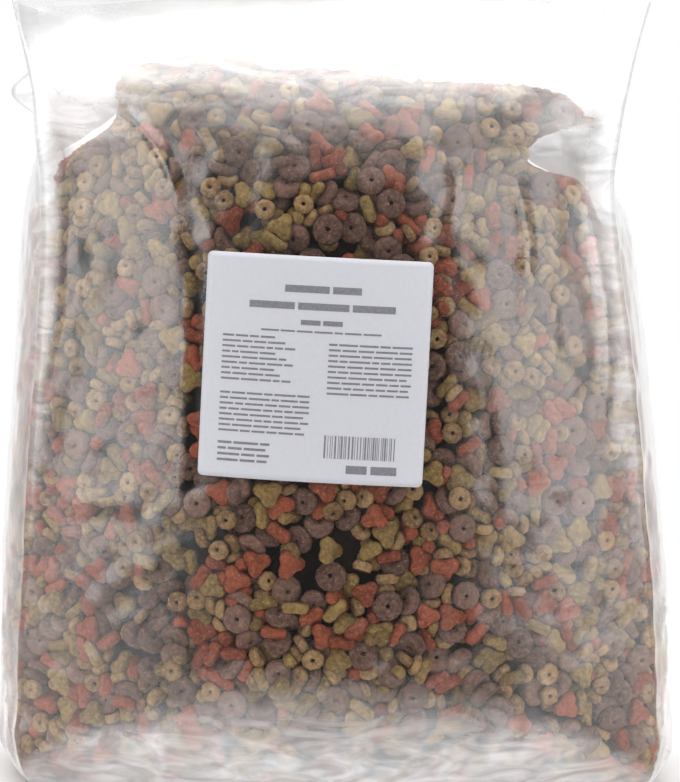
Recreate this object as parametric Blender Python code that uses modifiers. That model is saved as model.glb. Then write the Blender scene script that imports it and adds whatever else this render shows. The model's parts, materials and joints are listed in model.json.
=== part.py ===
"""Ten kilograms of mixed dry cat food in a clear side-gusseted film bag.

The bag is one blown film tube: a front and a back panel joined by two side gussets,
closed across its base and open at its mouth. The food pushes the gussets out low down,
and above the fill they fold inwards again, so the top closes like a gable.
Metres, +Z up, front towards -Y, origin on the floor under the middle of the base.
"""
import math

import bmesh
import bpy
import numpy as np
from mathutils import Matrix, Vector

# Driving dimensions
FILM = 0.00015             # thickness of the film
GAP = 0.0003               # clearance between touching pieces
FILL_INSET = 0.0008        # from the film's outer face to the bulk of the food
FILL_BASE_LIFT = 0.0015    # of the food over the floor, where the film is creased
BASE_ROUND = 0.034         # height of the turn from the walls under into the base
BASE_CORNER = 0.42         # how far in it reaches at the gussets, of its height
BASE_SEAM_SHARE = 0.9      # length of the seam across the base, of the base's own length
LABEL_SIZE = 0.108         # the label is square
LABEL_CORNER = 0.0025
LABEL_PAPER = 0.00015
LABEL_X = -0.012           # centre of the label on the front panel
LABEL_Z = 0.218
LABEL_TURN = math.radians(-2.0)

# Mesh density
PANEL_STEPS = 14           # across the front or the back panel
GUSSET_STEPS = 10          # across a side gusset
BASE_STEPS = 3             # from the seam to the edge of the base
ROUND_STEPS = 4            # round the turn from base to wall
WALL_STEPS = 2             # between two neighbouring guide rows

# Guide rows, from the top of the base round up to the mouth. Each side of the bag has
# the crease between panel and gusset (x, z, depth from the middle plane) and the line
# along the middle of the gusset (x, z). The gusset stands outside the crease where food
# fills it, and folds inside it above the fill.
LEFT = [
    (-0.156, 0.036, 0.068, -0.171, 0.036),
    (-0.156, 0.070, 0.069, -0.174, 0.070),
    (-0.153, 0.150, 0.070, -0.170, 0.150),
    (-0.148, 0.230, 0.070, -0.165, 0.230),
    (-0.147, 0.290, 0.067, -0.161, 0.288),
    (-0.150, 0.320, 0.062, -0.155, 0.310),
    (-0.154, 0.345, 0.056, -0.132, 0.326),
    (-0.158, 0.362, 0.052, -0.114, 0.343),
    (-0.163, 0.380, 0.053, -0.124, 0.364),
    (-0.166, 0.393, 0.058, -0.130, 0.382),
]
RIGHT = [
    (0.159, 0.036, 0.068, 0.172, 0.036),
    (0.158, 0.070, 0.069, 0.173, 0.070),
    (0.151, 0.150, 0.070, 0.164, 0.150),
    (0.141, 0.230, 0.070, 0.154, 0.230),
    (0.133, 0.286, 0.066, 0.146, 0.282),
    (0.132, 0.312, 0.059, 0.136, 0.298),
    (0.136, 0.336, 0.051, 0.108, 0.310),
    (0.141, 0.356, 0.046, 0.090, 0.323),
    (0.147, 0.380, 0.038, 0.089, 0.354),
    (0.152, 0.399, 0.033, 0.091, 0.388),
]
# Of each guide row: how far the panels bulge beyond their creases, how much higher
# their middle stands, and how sharply the gusset folds (2 is a round arc, 1 is a vee).
PANEL = [
    (0.047, 0.000, 2.0),
    (0.050, 0.000, 2.0),
    (0.052, 0.000, 2.0),
    (0.053, 0.000, 2.0),
    (0.053, 0.002, 2.0),
    (0.051, 0.004, 1.8),
    (0.044, 0.006, 1.4),
    (0.030, 0.008, 1.2),
    (0.014, 0.008, 1.15),
    (0.006, 0.008, 1.15),
]
FILL_ROWS = 5              # guide rows that the food stands against
EAR_REACH = 0.022          # the rear left crease flares out into an ear
EAR_Z = 0.349
EAR_SPREAD = 0.013

# Loose pieces of food on top of the heap
HEAP_TOP = 0.348
HEAP_RISE = 0.003
# Rings of the heap above the walls: their share of the wall's width and depth, and how
# far they have climbed from the wall to the mound
HEAP_RINGS = [(0.82, 0.90, 0.08), (0.60, 0.82, 0.45), (0.48, 0.60, 1.0), (0.32, 0.4, 1.0), (0.15, 0.18, 1.0)]
LOOSE_COLUMNS = 8
LOOSE_ROWS = 4
LOOSE_PITCH_X = 0.0235
LOOSE_PITCH_Y = 0.0215
LOOSE_MIDDLE_X = -0.012
LOOSE_SHIFT = 0.0015       # how far a piece may lie off its place
SEED = 7


def clear_scene():
    for item in list(bpy.data.objects):
        bpy.data.objects.remove(item, do_unlink=True)


def material(name, colour, roughness, alpha=1.0):
    made = bpy.data.materials.new(name)
    made.use_nodes = True
    shader = made.node_tree.nodes["Principled BSDF"]
    shader.inputs["Base Color"].default_value = (*colour, 1.0)
    shader.inputs["Roughness"].default_value = roughness
    shader.inputs["Metallic"].default_value = 0.0
    shader.inputs["Alpha"].default_value = alpha
    return made


def add_mesh(name, build, collection, finish):
    """Makes a mesh object from a bmesh and gives it one material."""
    mesh = bpy.data.meshes.new(name)
    build.to_mesh(mesh)
    build.free()
    mesh.materials.append(finish)
    made = bpy.data.objects.new(name, mesh)
    collection.objects.link(made)
    return made


def smooth_row(rows, place):
    """Reads the guide rows at a fractional row, on a Catmull-Rom curve."""
    table = np.array(rows)
    first = min(int(place), len(table) - 2)
    part = place - first
    before = table[max(first - 1, 0)]
    start = table[first]
    end = table[first + 1]
    after = table[min(first + 2, len(table) - 1)]
    slope_in = (end - before) / 2
    slope_out = (after - start) / 2
    return ((2 * part**3 - 3 * part**2 + 1) * start
            + (part**3 - 2 * part**2 + part) * slope_in
            + (3 * part**2 - 2 * part**3) * end
            + (part**3 - part**2) * slope_out)


def arch(across, power=2.0):
    """1 in the middle of a panel and 0 at both of its edges."""
    return 1.0 - abs(2.0 * across - 1.0) ** power


def panel_points(left, right, shape, side):
    """The front panel (side -1) from left to right, or the back panel (side 1)."""
    bulge, lift, _ = shape
    points = []
    for step in range(PANEL_STEPS):
        across = step / PANEL_STEPS
        x = left[0] + (right[0] - left[0]) * across
        z = left[1] + (right[1] - left[1]) * across + lift * arch(across)
        depth = left[2] + (right[2] - left[2]) * across + bulge * arch(across, 2.2)
        points.append(Vector((x, side * depth, z)))
    return points


def gusset_points(guide, shape, side):
    """A gusset from the front crease to the back one, side 1, or back to front, -1."""
    points = []
    for step in range(GUSSET_STEPS):
        across = step / GUSSET_STEPS
        out = arch(across, shape[2])
        x = guide[0] + (guide[3] - guide[0]) * out
        z = guide[1] + (guide[4] - guide[1]) * out
        points.append(Vector((x, side * guide[2] * (2 * across - 1), z)))
    return points


def section(place):
    """One closed loop round the bag, at a fractional guide row."""
    left = smooth_row(LEFT, place)
    right = smooth_row(RIGHT, place)
    shape = smooth_row(PANEL, place)
    loop = panel_points(left, right, shape, -1)
    loop += gusset_points(right, shape, 1)
    loop += reversed(panel_points(left, right, shape, 1)[1:] + [Vector((right[0], right[2], right[1]))])
    loop += gusset_points(left, shape, -1)
    flare_about = len(loop) - GUSSET_STEPS
    for index, point in enumerate(loop):
        near = max(0.0, 1.0 - abs(index - flare_about) / 4.0)
        rise = math.exp(-((point.z - EAR_Z) / EAR_SPREAD) ** 2)
        point.x -= EAR_REACH * near * near * rise
    return loop


def inward(loop, distances):
    """Moves each point of a loop inwards in the loop's own plane, by its own distance."""
    moved = []
    count = len(loop)
    for index, point in enumerate(loop):
        along = loop[(index + 1) % count] - loop[index - 1]
        out = Vector((along.y, -along.x, 0.0)).normalized()
        moved.append(point - out * distances[index])
    return moved


def round_reach():
    """How far in the base's round reaches, at each point of a loop."""
    panel = []
    for step in range(PANEL_STEPS):
        share = BASE_CORNER + (1 - BASE_CORNER) * arch(step / PANEL_STEPS, 4.0)
        panel.append(BASE_ROUND * share)
    gusset = [BASE_ROUND * BASE_CORNER] * GUSSET_STEPS
    return panel + gusset + panel + gusset


def base_loops():
    """Loops from the seam across the base, over its flat and round up to the walls."""
    wall = section(0)
    reach = round_reach()
    edge = inward(wall, reach)
    loops = []
    for step in range(BASE_STEPS):
        part = step / BASE_STEPS
        loop = []
        for point in edge:
            x = point.x * (BASE_SEAM_SHARE + (1 - BASE_SEAM_SHARE) * part)
            loop.append(Vector((x, point.y * part, 0.0)))
        loops.append(loop)
    for step in range(ROUND_STEPS):
        angle = math.pi / 2 * step / ROUND_STEPS
        turned = inward(wall, [distance * (1 - math.sin(angle)) for distance in reach])
        height = BASE_ROUND * (1 - math.cos(angle))
        loops.append([Vector((point.x, point.y, height)) for point in turned])
    return loops


def wall_loops(last_row):
    count = WALL_STEPS * last_row
    return [section(last_row * step / count) for step in range(count + 1)]


def loft(loops):
    """An open skin through the loops, its normals out."""
    build = bmesh.new()
    rings = [[build.verts.new(point) for point in loop] for loop in loops]
    for low, high in zip(rings, rings[1:]):
        for index in range(len(low)):
            after = (index + 1) % len(low)
            build.faces.new((low[index], low[after], high[after], high[index]))
    return build


def film_bag(collection):
    build = loft(base_loops() + wall_loops(len(LEFT) - 1))
    bmesh.ops.remove_doubles(build, verts=build.verts, dist=0.00001)
    clear = material("clear_film", (0.93, 0.94, 0.95), 0.15, 0.25)
    made = add_mesh("film_bag", build, collection, clear)
    wall = made.modifiers.new("wall", "SOLIDIFY")
    wall.thickness = FILM
    wall.offset = -1.0
    wall.use_rim = True
    made.data.shade_smooth()
    return made


def heap_height(x, y):
    """The heap's top: a low mound."""
    return HEAP_TOP + HEAP_RISE * math.exp(-(x / 0.09) ** 2 - (y / 0.05) ** 2)


def kibble_fill(collection):
    """The bulk of the food as one solid: it lies against the film all round and under
    the gable, with the heap's mound on top."""
    loops = []
    for loop in base_loops() + wall_loops(FILL_ROWS):
        loops.append(inward(loop, [FILL_INSET] * len(loop)))
    seam = BASE_STEPS
    loops = loops[seam:]
    for index in range(ROUND_STEPS):
        for point in loops[index]:
            point.z += FILL_BASE_LIFT
    top = loops[-1]
    for shrink_x, shrink_y, blend in HEAP_RINGS:
        ring = []
        for point in top:
            x = point.x * shrink_x
            y = point.y * shrink_y
            z = point.z + (heap_height(x, y) - point.z) * blend
            ring.append(Vector((x, y, z)))
        loops.append(ring)
    build = loft(loops)
    rings = [edge for edge in build.edges if edge.is_boundary]
    bmesh.ops.holes_fill(build, edges=rings, sides=0)
    bmesh.ops.triangulate(build, faces=[face for face in build.faces if len(face.verts) > 4])
    bmesh.ops.recalc_face_normals(build, faces=build.faces)
    made = add_mesh("kibble_fill", build, collection, material("bulk_food", (0.22, 0.13, 0.08), 0.8))
    made.data.shade_smooth()
    return made


def front_depth(x, z):
    """Depth of the front panel's outer face at a place on its wall."""
    low = 0.0
    high = float(len(LEFT) - 1)
    for _ in range(30):
        place = (low + high) / 2
        left = smooth_row(LEFT, place)
        right = smooth_row(RIGHT, place)
        shape = smooth_row(PANEL, place)
        across = (x - left[0]) / (right[0] - left[0])
        height = left[1] + (right[1] - left[1]) * across + shape[1] * arch(across)
        if height < z:
            low = place
        else:
            high = place
    return left[2] + (right[2] - left[2]) * across + shape[0] * arch(across, 2.2)


def label(collection):
    """A square paper sticker with round corners that follows the front panel."""
    build = bmesh.new()
    steps = 12
    half = LABEL_SIZE / 2
    bmesh.ops.create_grid(build, x_segments=steps, y_segments=steps, size=half)
    corners = [vert for vert in build.verts if abs(abs(vert.co.x) - half) < 1e-6
               and abs(abs(vert.co.y) - half) < 1e-6]
    bmesh.ops.bevel(build, geom=corners, offset=LABEL_CORNER, segments=3, profile=0.5,
                    affect="VERTICES")
    turn = Matrix.Rotation(LABEL_TURN, 3, "Z")
    for vert in build.verts:
        flat = turn @ vert.co
        x = LABEL_X + flat.x
        z = LABEL_Z + flat.y
        vert.co = Vector((x, -front_depth(x, z) - 2 * GAP, z))
    bmesh.ops.recalc_face_normals(build, faces=build.faces)
    if sum(face.normal.y for face in build.faces) > 0:
        bmesh.ops.reverse_faces(build, faces=build.faces)
    made = add_mesh("label", build, collection, material("label_paper", (0.62, 0.62, 0.66), 0.55))
    paper = made.modifiers.new("paper", "SOLIDIFY")
    paper.thickness = LABEL_PAPER
    paper.offset = 1.0
    made.data.shade_smooth()
    return made


def ring_kibble_mesh(name, outer, hole, thick, around, finish):
    """A round piece with a hole through its middle: a turned oval section."""
    build = bmesh.new()
    reach = (outer - hole) / 2
    middle = (outer + hole) / 2
    section_points = []
    for step in range(8):
        angle = -math.tau * step / 8
        x = middle + reach * math.copysign(abs(math.cos(angle)) ** 0.8, math.cos(angle))
        z = thick / 2 * math.copysign(abs(math.sin(angle)) ** 0.8, math.sin(angle))
        section_points.append(build.verts.new((x, 0.0, z)))
    for start, end in zip(section_points, section_points[1:] + section_points[:1]):
        build.edges.new((start, end))
    mesh = bpy.data.meshes.new(name)
    bmesh.ops.spin(build, geom=build.verts[:] + build.edges[:], cent=(0, 0, 0),
                   axis=(0, 0, 1), steps=around, angle=math.tau, use_merge=True)
    bmesh.ops.remove_doubles(build, verts=build.verts, dist=0.00001)
    bmesh.ops.recalc_face_normals(build, faces=build.faces)
    build.to_mesh(mesh)
    build.free()
    mesh.materials.append(finish)
    mesh.shade_smooth()
    return mesh


def clover_kibble_mesh(name, lobe_reach, waist, thick, finish):
    """A flat piece of three round lobes, domed on both faces."""
    build = bmesh.new()
    around = 18
    rings = []
    for height, inset in ((-0.5, 0.72), (-0.2, 1.0), (0.2, 1.0), (0.5, 0.72)):
        ring = []
        for step in range(around):
            angle = math.tau * step / around
            lobe = 0.5 + 0.5 * math.cos(3 * angle)
            radius = (waist + (lobe_reach - waist) * lobe) * inset
            point = (radius * math.cos(angle), radius * math.sin(angle), thick * height)
            ring.append(build.verts.new(point))
        rings.append(ring)
    for low, high in zip(rings, rings[1:]):
        for index in range(around):
            after = (index + 1) % around
            build.faces.new((low[index], low[after], high[after], high[index]))
    build.faces.new(list(reversed(rings[0])))
    build.faces.new(rings[-1])
    bmesh.ops.recalc_face_normals(build, faces=build.faces)
    mesh = bpy.data.meshes.new(name)
    build.to_mesh(mesh)
    build.free()
    mesh.materials.append(finish)
    return mesh


def loose_kibbles(collection):
    """The four kinds of pieces, lying apart on top of the heap."""
    kinds = [
        ("brown_disc", 0.0026, ring_kibble_mesh(
            "brown_disc", 0.0077, 0.0014, 0.0052, 12, material("brown_food", (0.26, 0.15, 0.12), 0.85))),
        ("tan_ring", 0.0021, ring_kibble_mesh(
            "tan_ring", 0.0053, 0.0011, 0.0042, 10, material("tan_food", (0.40, 0.27, 0.13), 0.85))),
        ("red_clover", 0.0023, clover_kibble_mesh(
            "red_clover", 0.0082, 0.0050, 0.0046, material("red_food", (0.47, 0.12, 0.06), 0.85))),
        ("green_clover", 0.0023, clover_kibble_mesh(
            "green_clover", 0.0080, 0.0050, 0.0046, material("green_food", (0.33, 0.27, 0.08), 0.85))),
    ]
    draw = np.random.default_rng(SEED)
    counts = [0] * len(kinds)
    for row in range(LOOSE_ROWS):
        for column in range(LOOSE_COLUMNS):
            kind = (column + row * 3) % len(kinds)
            name, half, mesh = kinds[kind]
            counts[kind] += 1
            x = LOOSE_MIDDLE_X + (column - (LOOSE_COLUMNS - 1) / 2) * LOOSE_PITCH_X
            y = (row - (LOOSE_ROWS - 1) / 2) * LOOSE_PITCH_Y
            x += draw.uniform(-LOOSE_SHIFT, LOOSE_SHIFT)
            y += draw.uniform(-LOOSE_SHIFT, LOOSE_SHIFT)
            made = bpy.data.objects.new(f"{name}_{counts[kind]}", mesh)
            collection.objects.link(made)
            z = HEAP_TOP + HEAP_RISE + half + 2 * GAP
            made.location = (x, y, z)
            made.rotation_euler = (0.0, 0.0, draw.uniform(0, math.tau))


def main():
    clear_scene()
    collection = bpy.data.collections.new("pet_food_bag")
    bpy.context.scene.collection.children.link(collection)
    film_bag(collection)
    kibble_fill(collection)
    label(collection)
    loose_kibbles(collection)


main()
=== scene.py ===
import json
import math

import bmesh
import bpy
import numpy as np
from mathutils import Matrix, Vector
from mathutils.bvhtree import BVHTree

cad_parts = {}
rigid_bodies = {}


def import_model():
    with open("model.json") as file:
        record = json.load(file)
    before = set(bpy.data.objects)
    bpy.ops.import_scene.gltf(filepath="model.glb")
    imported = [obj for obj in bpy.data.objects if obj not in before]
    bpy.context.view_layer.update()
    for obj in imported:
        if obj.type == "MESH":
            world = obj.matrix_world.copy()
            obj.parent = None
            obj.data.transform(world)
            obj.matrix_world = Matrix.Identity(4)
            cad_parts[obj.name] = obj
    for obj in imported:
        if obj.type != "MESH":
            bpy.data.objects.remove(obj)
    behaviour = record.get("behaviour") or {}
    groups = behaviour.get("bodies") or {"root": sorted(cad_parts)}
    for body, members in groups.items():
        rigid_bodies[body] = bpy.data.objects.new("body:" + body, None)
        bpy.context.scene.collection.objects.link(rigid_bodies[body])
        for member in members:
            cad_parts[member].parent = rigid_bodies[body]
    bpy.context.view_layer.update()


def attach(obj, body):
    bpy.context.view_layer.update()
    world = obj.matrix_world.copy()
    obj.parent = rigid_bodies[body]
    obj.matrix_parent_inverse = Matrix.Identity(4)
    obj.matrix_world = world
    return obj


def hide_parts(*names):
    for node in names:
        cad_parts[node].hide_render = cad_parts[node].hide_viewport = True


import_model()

# Film shape, metres. Guide rows from the base round up to the mouth: on each side the
# crease between panel and gusset (x, z, depth), then the middle line of the gusset (x, z).
LEFT = np.array([
    (-0.156, 0.036, 0.068, -0.171, 0.036),
    (-0.156, 0.070, 0.069, -0.174, 0.070),
    (-0.153, 0.150, 0.070, -0.170, 0.150),
    (-0.148, 0.230, 0.070, -0.165, 0.230),
    (-0.147, 0.290, 0.067, -0.161, 0.288),
    (-0.150, 0.320, 0.062, -0.155, 0.310),
    (-0.154, 0.345, 0.056, -0.132, 0.326),
    (-0.158, 0.362, 0.052, -0.114, 0.343),
    (-0.163, 0.380, 0.053, -0.124, 0.364),
    (-0.166, 0.393, 0.058, -0.130, 0.382),
])
RIGHT = np.array([
    (0.159, 0.036, 0.068, 0.172, 0.036),
    (0.158, 0.070, 0.069, 0.173, 0.070),
    (0.151, 0.150, 0.070, 0.164, 0.150),
    (0.141, 0.230, 0.070, 0.154, 0.230),
    (0.133, 0.286, 0.066, 0.146, 0.282),
    (0.132, 0.312, 0.059, 0.136, 0.298),
    (0.136, 0.336, 0.051, 0.108, 0.310),
    (0.141, 0.356, 0.046, 0.090, 0.323),
    (0.147, 0.380, 0.038, 0.089, 0.354),
    (0.152, 0.399, 0.033, 0.091, 0.388),
])
# Of each row: bulge of the panels, rise of their middle, sharpness of the gusset's fold
PANEL = np.array([
    (0.047, 0.000, 2.0),
    (0.050, 0.000, 2.0),
    (0.052, 0.000, 2.0),
    (0.053, 0.000, 2.0),
    (0.053, 0.002, 2.0),
    (0.051, 0.004, 1.8),
    (0.044, 0.006, 1.4),
    (0.030, 0.008, 1.2),
    (0.014, 0.008, 1.15),
    (0.006, 0.008, 1.15),
])
LAST_ROW = len(LEFT) - 1.0
BASE_ROUND = 0.034         # of the turn from wall to base under the panels
BASE_CORNER = 0.42         # share of that radius left at the gussets
SEAM_SHARE = 0.9
EAR_REACH, EAR_Z, EAR_SPREAD = 0.022, 0.349, 0.013
CREASE_PROUD = 0.0007      # how far the pressed crease stands out of the film
CREASE_WIDTH = 0.0022
# Long creases on the panels: start and end (x, z), height and width
LONG_CREASES = [
    ((-0.112, 0.343), (-0.078, 0.296), 0.0026, 0.0024),
    ((-0.070, 0.300), (-0.058, 0.225), 0.0012, 0.0040),
    ((0.078, 0.318), (0.086, 0.240), 0.0014, 0.0035),
    ((0.118, 0.300), (0.128, 0.180), 0.0014, 0.0022),
    ((-0.135, 0.300), (-0.146, 0.190), 0.0012, 0.0022),
    ((0.045, 0.330), (0.050, 0.285), 0.0010, 0.0030),
    ((-0.020, 0.020), (0.012, 0.030), 0.0012, 0.0016),
    ((0.060, 0.016), (0.095, 0.026), 0.0012, 0.0016),
]
FRONT_STEPS, SIDE_STEPS, BACK_STEPS = 140, 64, 120
ROW_PITCH = 0.0019         # height of one ring of the film's mesh
BASE_RINGS, ROUND_RINGS = 16, 26

GLOSS_GAIN = 1.65          # the film mirrors this much more than one clean surface
GLOSS_MOST = 0.72          # and never more than this share
WORLD_FILL = 0.46          # of the surroundings' brightness that lights the scene

# Food
CORE_DEPTH = 0.0108        # of the layer of single pieces between film and core
PACKING = 0.89             # share of the layer that the pieces fill
RIM = 0.0009               # of the rounding at the rims of the pieces
FILM_CLEAR = 0.0012
RELAX_ROUNDS = 150
PUSH = 0.00006             # outwards, in each of the first rounds
SEED = 12

# Outlines, x then z, where the food ends: the heap's top, the left pocket's lower edge,
# and the right pocket's two edges from its tip
HEAP_TOP = ([-0.135, -0.129, -0.108, -0.082, -0.036, 0.031, 0.093, 0.108, 0.121, 0.135],
            [0.335, 0.350, 0.360, 0.368, 0.366, 0.357, 0.356, 0.352, 0.341, 0.325])
LEFT_LIP = ([-0.150, -0.1452, -0.1365, -0.1236, -0.1159, -0.1140],
            [0.290, 0.313, 0.320, 0.3286, 0.335, 0.42])
POCKET_TIP = 0.0906
POCKET_UPPER = ([POCKET_TIP, 0.100, 0.113, 0.132], [0.3225, 0.3306, 0.3358, 0.3363])
POCKET_LOWER = ([POCKET_TIP, 0.0937, 0.108, 0.121, 0.1246, 0.132],
                [0.3205, 0.3160, 0.3116, 0.3085, 0.3010, 0.285])

# Camera
CAMERA_AWAY, CAMERA_Z = 1.6, 0.33
CAMERA_LENS, CAMERA_ROLL = 164.4, math.radians(1.0)

# Label
LABEL_SIZE = 0.108
LABEL_CORNER = 0.0025
LABEL_X, LABEL_Z = -0.012, 0.218
LABEL_TURN = math.radians(-2.0)
LABEL_PROUD = 0.0006


# ---------------------------------------------------------------- film surface

def read_rows(rows, place):
    """Reads guide rows at fractional rows, on a Catmull-Rom curve."""
    place = np.asarray(place, dtype=float)
    first = np.minimum(place.astype(int), len(rows) - 2)
    part = (place - first)[..., None]
    before = rows[np.maximum(first - 1, 0)]
    start = rows[first]
    end = rows[first + 1]
    after = rows[np.minimum(first + 2, len(rows) - 1)]
    slope_in = (end - before) / 2
    slope_out = (after - start) / 2
    return ((2 * part**3 - 3 * part**2 + 1) * start
            + (part**3 - 2 * part**2 + part) * slope_in
            + (3 * part**2 - 2 * part**3) * end
            + (part**3 - part**2) * slope_out)


def arch(across, power):
    return 1.0 - np.abs(2.0 * across - 1.0) ** power


def film_surface(side, across, place):
    """Points of the film: side 0 front, 1 right gusset, 2 back, 3 left gusset, all arrays."""
    left = read_rows(LEFT, place)
    right = read_rows(RIGHT, place)
    shape = read_rows(PANEL, place)
    on_panel = (side == 0) | (side == 2)
    across_panel = np.where(side == 2, 1.0 - across, across)
    blend = across_panel[..., None]
    between = left[..., :3] * (1 - blend) + right[..., :3] * blend
    depth = between[..., 2] + shape[..., 0] * arch(across_panel, 2.2)
    panel = np.stack([between[..., 0],
                      np.where(side == 2, depth, -depth),
                      between[..., 1] + shape[..., 1] * arch(across_panel, 2.0)], -1)
    edge = np.where((side == 1)[..., None], right, left)
    fold = np.abs(2 * across - 1)
    fold = np.sqrt(fold * fold + 0.0016) - 0.04 * (1 - fold)
    out = 1.0 - fold ** shape[..., 2]
    gusset = np.stack([edge[..., 0] + (edge[..., 3] - edge[..., 0]) * out,
                       np.where(side == 1, 1, -1) * edge[..., 2] * (2 * across - 1),
                       edge[..., 1] + (edge[..., 4] - edge[..., 1]) * out], -1)
    points = np.where(on_panel[..., None], panel, gusset)
    rear_left = np.where(side == 2, across - 1.0, np.where(side == 3, across, 1.0))
    near = np.clip(1 - np.abs(rear_left) / np.where(side == 2, 0.28, 0.42), 0, 1)
    ear = np.exp(-((points[..., 2] - EAR_Z) / EAR_SPREAD) ** 2)
    points[..., 0] -= EAR_REACH * near**2 * ear * ((side == 2) | (side == 3))
    return points


def loop_places(front, gusset, back):
    """Side and place across it for each point of a loop round the bag."""
    side = np.repeat([0, 1, 2, 3], [front, gusset, back, gusset])
    across = np.concatenate([np.arange(n) / n for n in (front, gusset, back, gusset)])
    return side, across


def row_places(pitch):
    """Fractional rows spaced by about one pitch along the film."""
    heights = (LEFT[:, 1] + RIGHT[:, 1]) / 2
    places = []
    for row in range(int(LAST_ROW)):
        count = max(2, round((heights[row + 1] - heights[row]) / pitch))
        places += [row + step / count for step in range(count)]
    return np.array(places + [LAST_ROW])


def round_share(side, across):
    """How much of the base's round each point of a loop has."""
    on_panel = (side == 0) | (side == 2)
    return np.where(on_panel, BASE_CORNER + (1 - BASE_CORNER) * arch(across, 4.0), BASE_CORNER)


def moved_in(ring, distance):
    along = np.roll(ring, -1, 0) - np.roll(ring, 1, 0)
    out = np.stack([along[:, 1], -along[:, 0], np.zeros(len(ring))], -1)
    return ring - out / np.linalg.norm(out, axis=1)[:, None] * np.asarray(distance)[..., None]


def film_grid(front, gusset, back, pitch, base_rings, round_rings):
    """The film's rings from the seam across its base up to its mouth."""
    side, across = loop_places(front, gusset, back)
    wall = film_surface(side, across, np.zeros(len(side)))
    share = round_share(side, across)
    edge = moved_in(wall, BASE_ROUND * share)
    rings = []
    for step in range(base_rings):
        part = step / base_rings
        ring = edge * [1, part, 0]
        ring[:, 0] *= SEAM_SHARE + (1 - SEAM_SHARE) * part
        rings.append(ring)
    for step in range(round_rings):
        angle = math.pi / 2 * step / round_rings
        ring = moved_in(wall, BASE_ROUND * share * (1 - math.sin(angle)))
        ring[:, 2] = BASE_ROUND * (1 - math.cos(angle))
        rings.append(ring)
    for place in row_places(pitch):
        rings.append(film_surface(side, across, np.full(len(side), place)))
    return np.array(rings), side, across


def grid_normals(grid):
    around = np.roll(grid, -1, 1) - np.roll(grid, 1, 1)
    up = np.gradient(grid, axis=0)
    normal = np.cross(around, up)
    return normal / np.maximum(np.linalg.norm(normal, axis=-1), 1e-12)[..., None]


def grid_faces(rings, count):
    index = np.arange(rings * count).reshape(rings, count)
    after = np.roll(index, -1, 1)
    return np.stack([index[:-1], after[:-1], after[1:], index[1:]], -1).reshape(-1, 4)


def ripple(around, up, cells, seed):
    """Smooth seeded unevenness from -1 to 1, over the loop (0 to 1, closed) and upwards."""
    table = np.random.default_rng(seed).uniform(-1, 1, cells)
    a, b = around * cells[0], up * (cells[1] - 1)
    i, j = np.floor(a).astype(int), np.clip(np.floor(b).astype(int), 0, cells[1] - 2)
    fa, fb = a - i, b - j
    fa, fb = fa * fa * (3 - 2 * fa), fb * fb * (3 - 2 * fb)
    i, after = i % cells[0], (i + 1) % cells[0]
    low = table[i, j] * (1 - fa) + table[after, j] * fa
    high = table[i, j + 1] * (1 - fa) + table[after, j + 1] * fa
    return low * (1 - fb) + high * fb


def ridge(x, z, start, end, width):
    """1 along a line on a panel, falling away beside it and towards its ends."""
    run = np.array(end) - np.array(start)
    length = np.hypot(*run)
    along = ((x - start[0]) * run[0] + (z - start[1]) * run[1]) / length**2
    beside = ((x - start[0]) * run[1] - (z - start[1]) * run[0]) / length
    beside = beside + 0.006 * np.sin(np.pi * along)
    return np.exp(-(beside / width) ** 2) * np.clip(4 * along * (1 - along), 0, 1)


def film_folds(grid, side, across):
    """How far the film stands off its smooth shape: dents over the food, slack folds
    above it, pleats where it turns under, and a few long creases."""
    widths = np.array([0.33, 0.14, 0.33, 0.14])
    starts = np.concatenate([[0], np.cumsum(widths)[:-1]])
    around = np.broadcast_to((starts[side] + across * widths[side]) / widths.sum(), grid.shape[:2])
    x, y, z = grid[..., 0], grid[..., 1], grid[..., 2]
    up = np.clip(z / 0.41, 0, 1)
    filled = np.clip((0.345 - z) / 0.02, 0, 1) * np.clip(z / 0.02, 0, 1)
    slack = np.clip((z - 0.20) / 0.14, 0, 1)
    mouth = np.clip((z - 0.345) / 0.055, 0, 1)
    turn = np.exp(-((z - 0.022) / 0.020) ** 2) * np.clip(z / 0.004, 0, 1)
    off = 0.00040 * filled * (1 + ripple(around, up, (96, 42), 1))
    off += 0.00060 * filled * (1 + ripple(around, up, (34, 12), 2))
    off += 0.00150 * slack * ripple(around, up, (40, 5), 3)
    off += 0.00420 * mouth * ripple(around, up, (13, 6), 4)
    off += 0.00130 * turn * (1 + ripple(around, up, (110, 16), 5))
    off += 0.00090 * turn * (1 + ripple(around, up, (46, 24), 6))
    front = y < -0.02
    for start, end, height, width in LONG_CREASES:
        off += front * height * ridge(x, z, start, end, width)
        off += (y > 0.02) * height * ridge(-x, z, start, end, width)
    inside = np.maximum(np.abs(x - LABEL_X), np.abs(z - LABEL_Z)) - LABEL_SIZE / 2
    off *= np.where(front, np.clip((inside - 0.002) / 0.006, 0, 1), 1.0)
    to_crease = np.minimum(across, 1 - across) * widths[side]
    return off + CREASE_PROUD * np.exp(-to_crease / CREASE_WIDTH)[None] * np.clip(z / 0.03, 0, 1)


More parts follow.
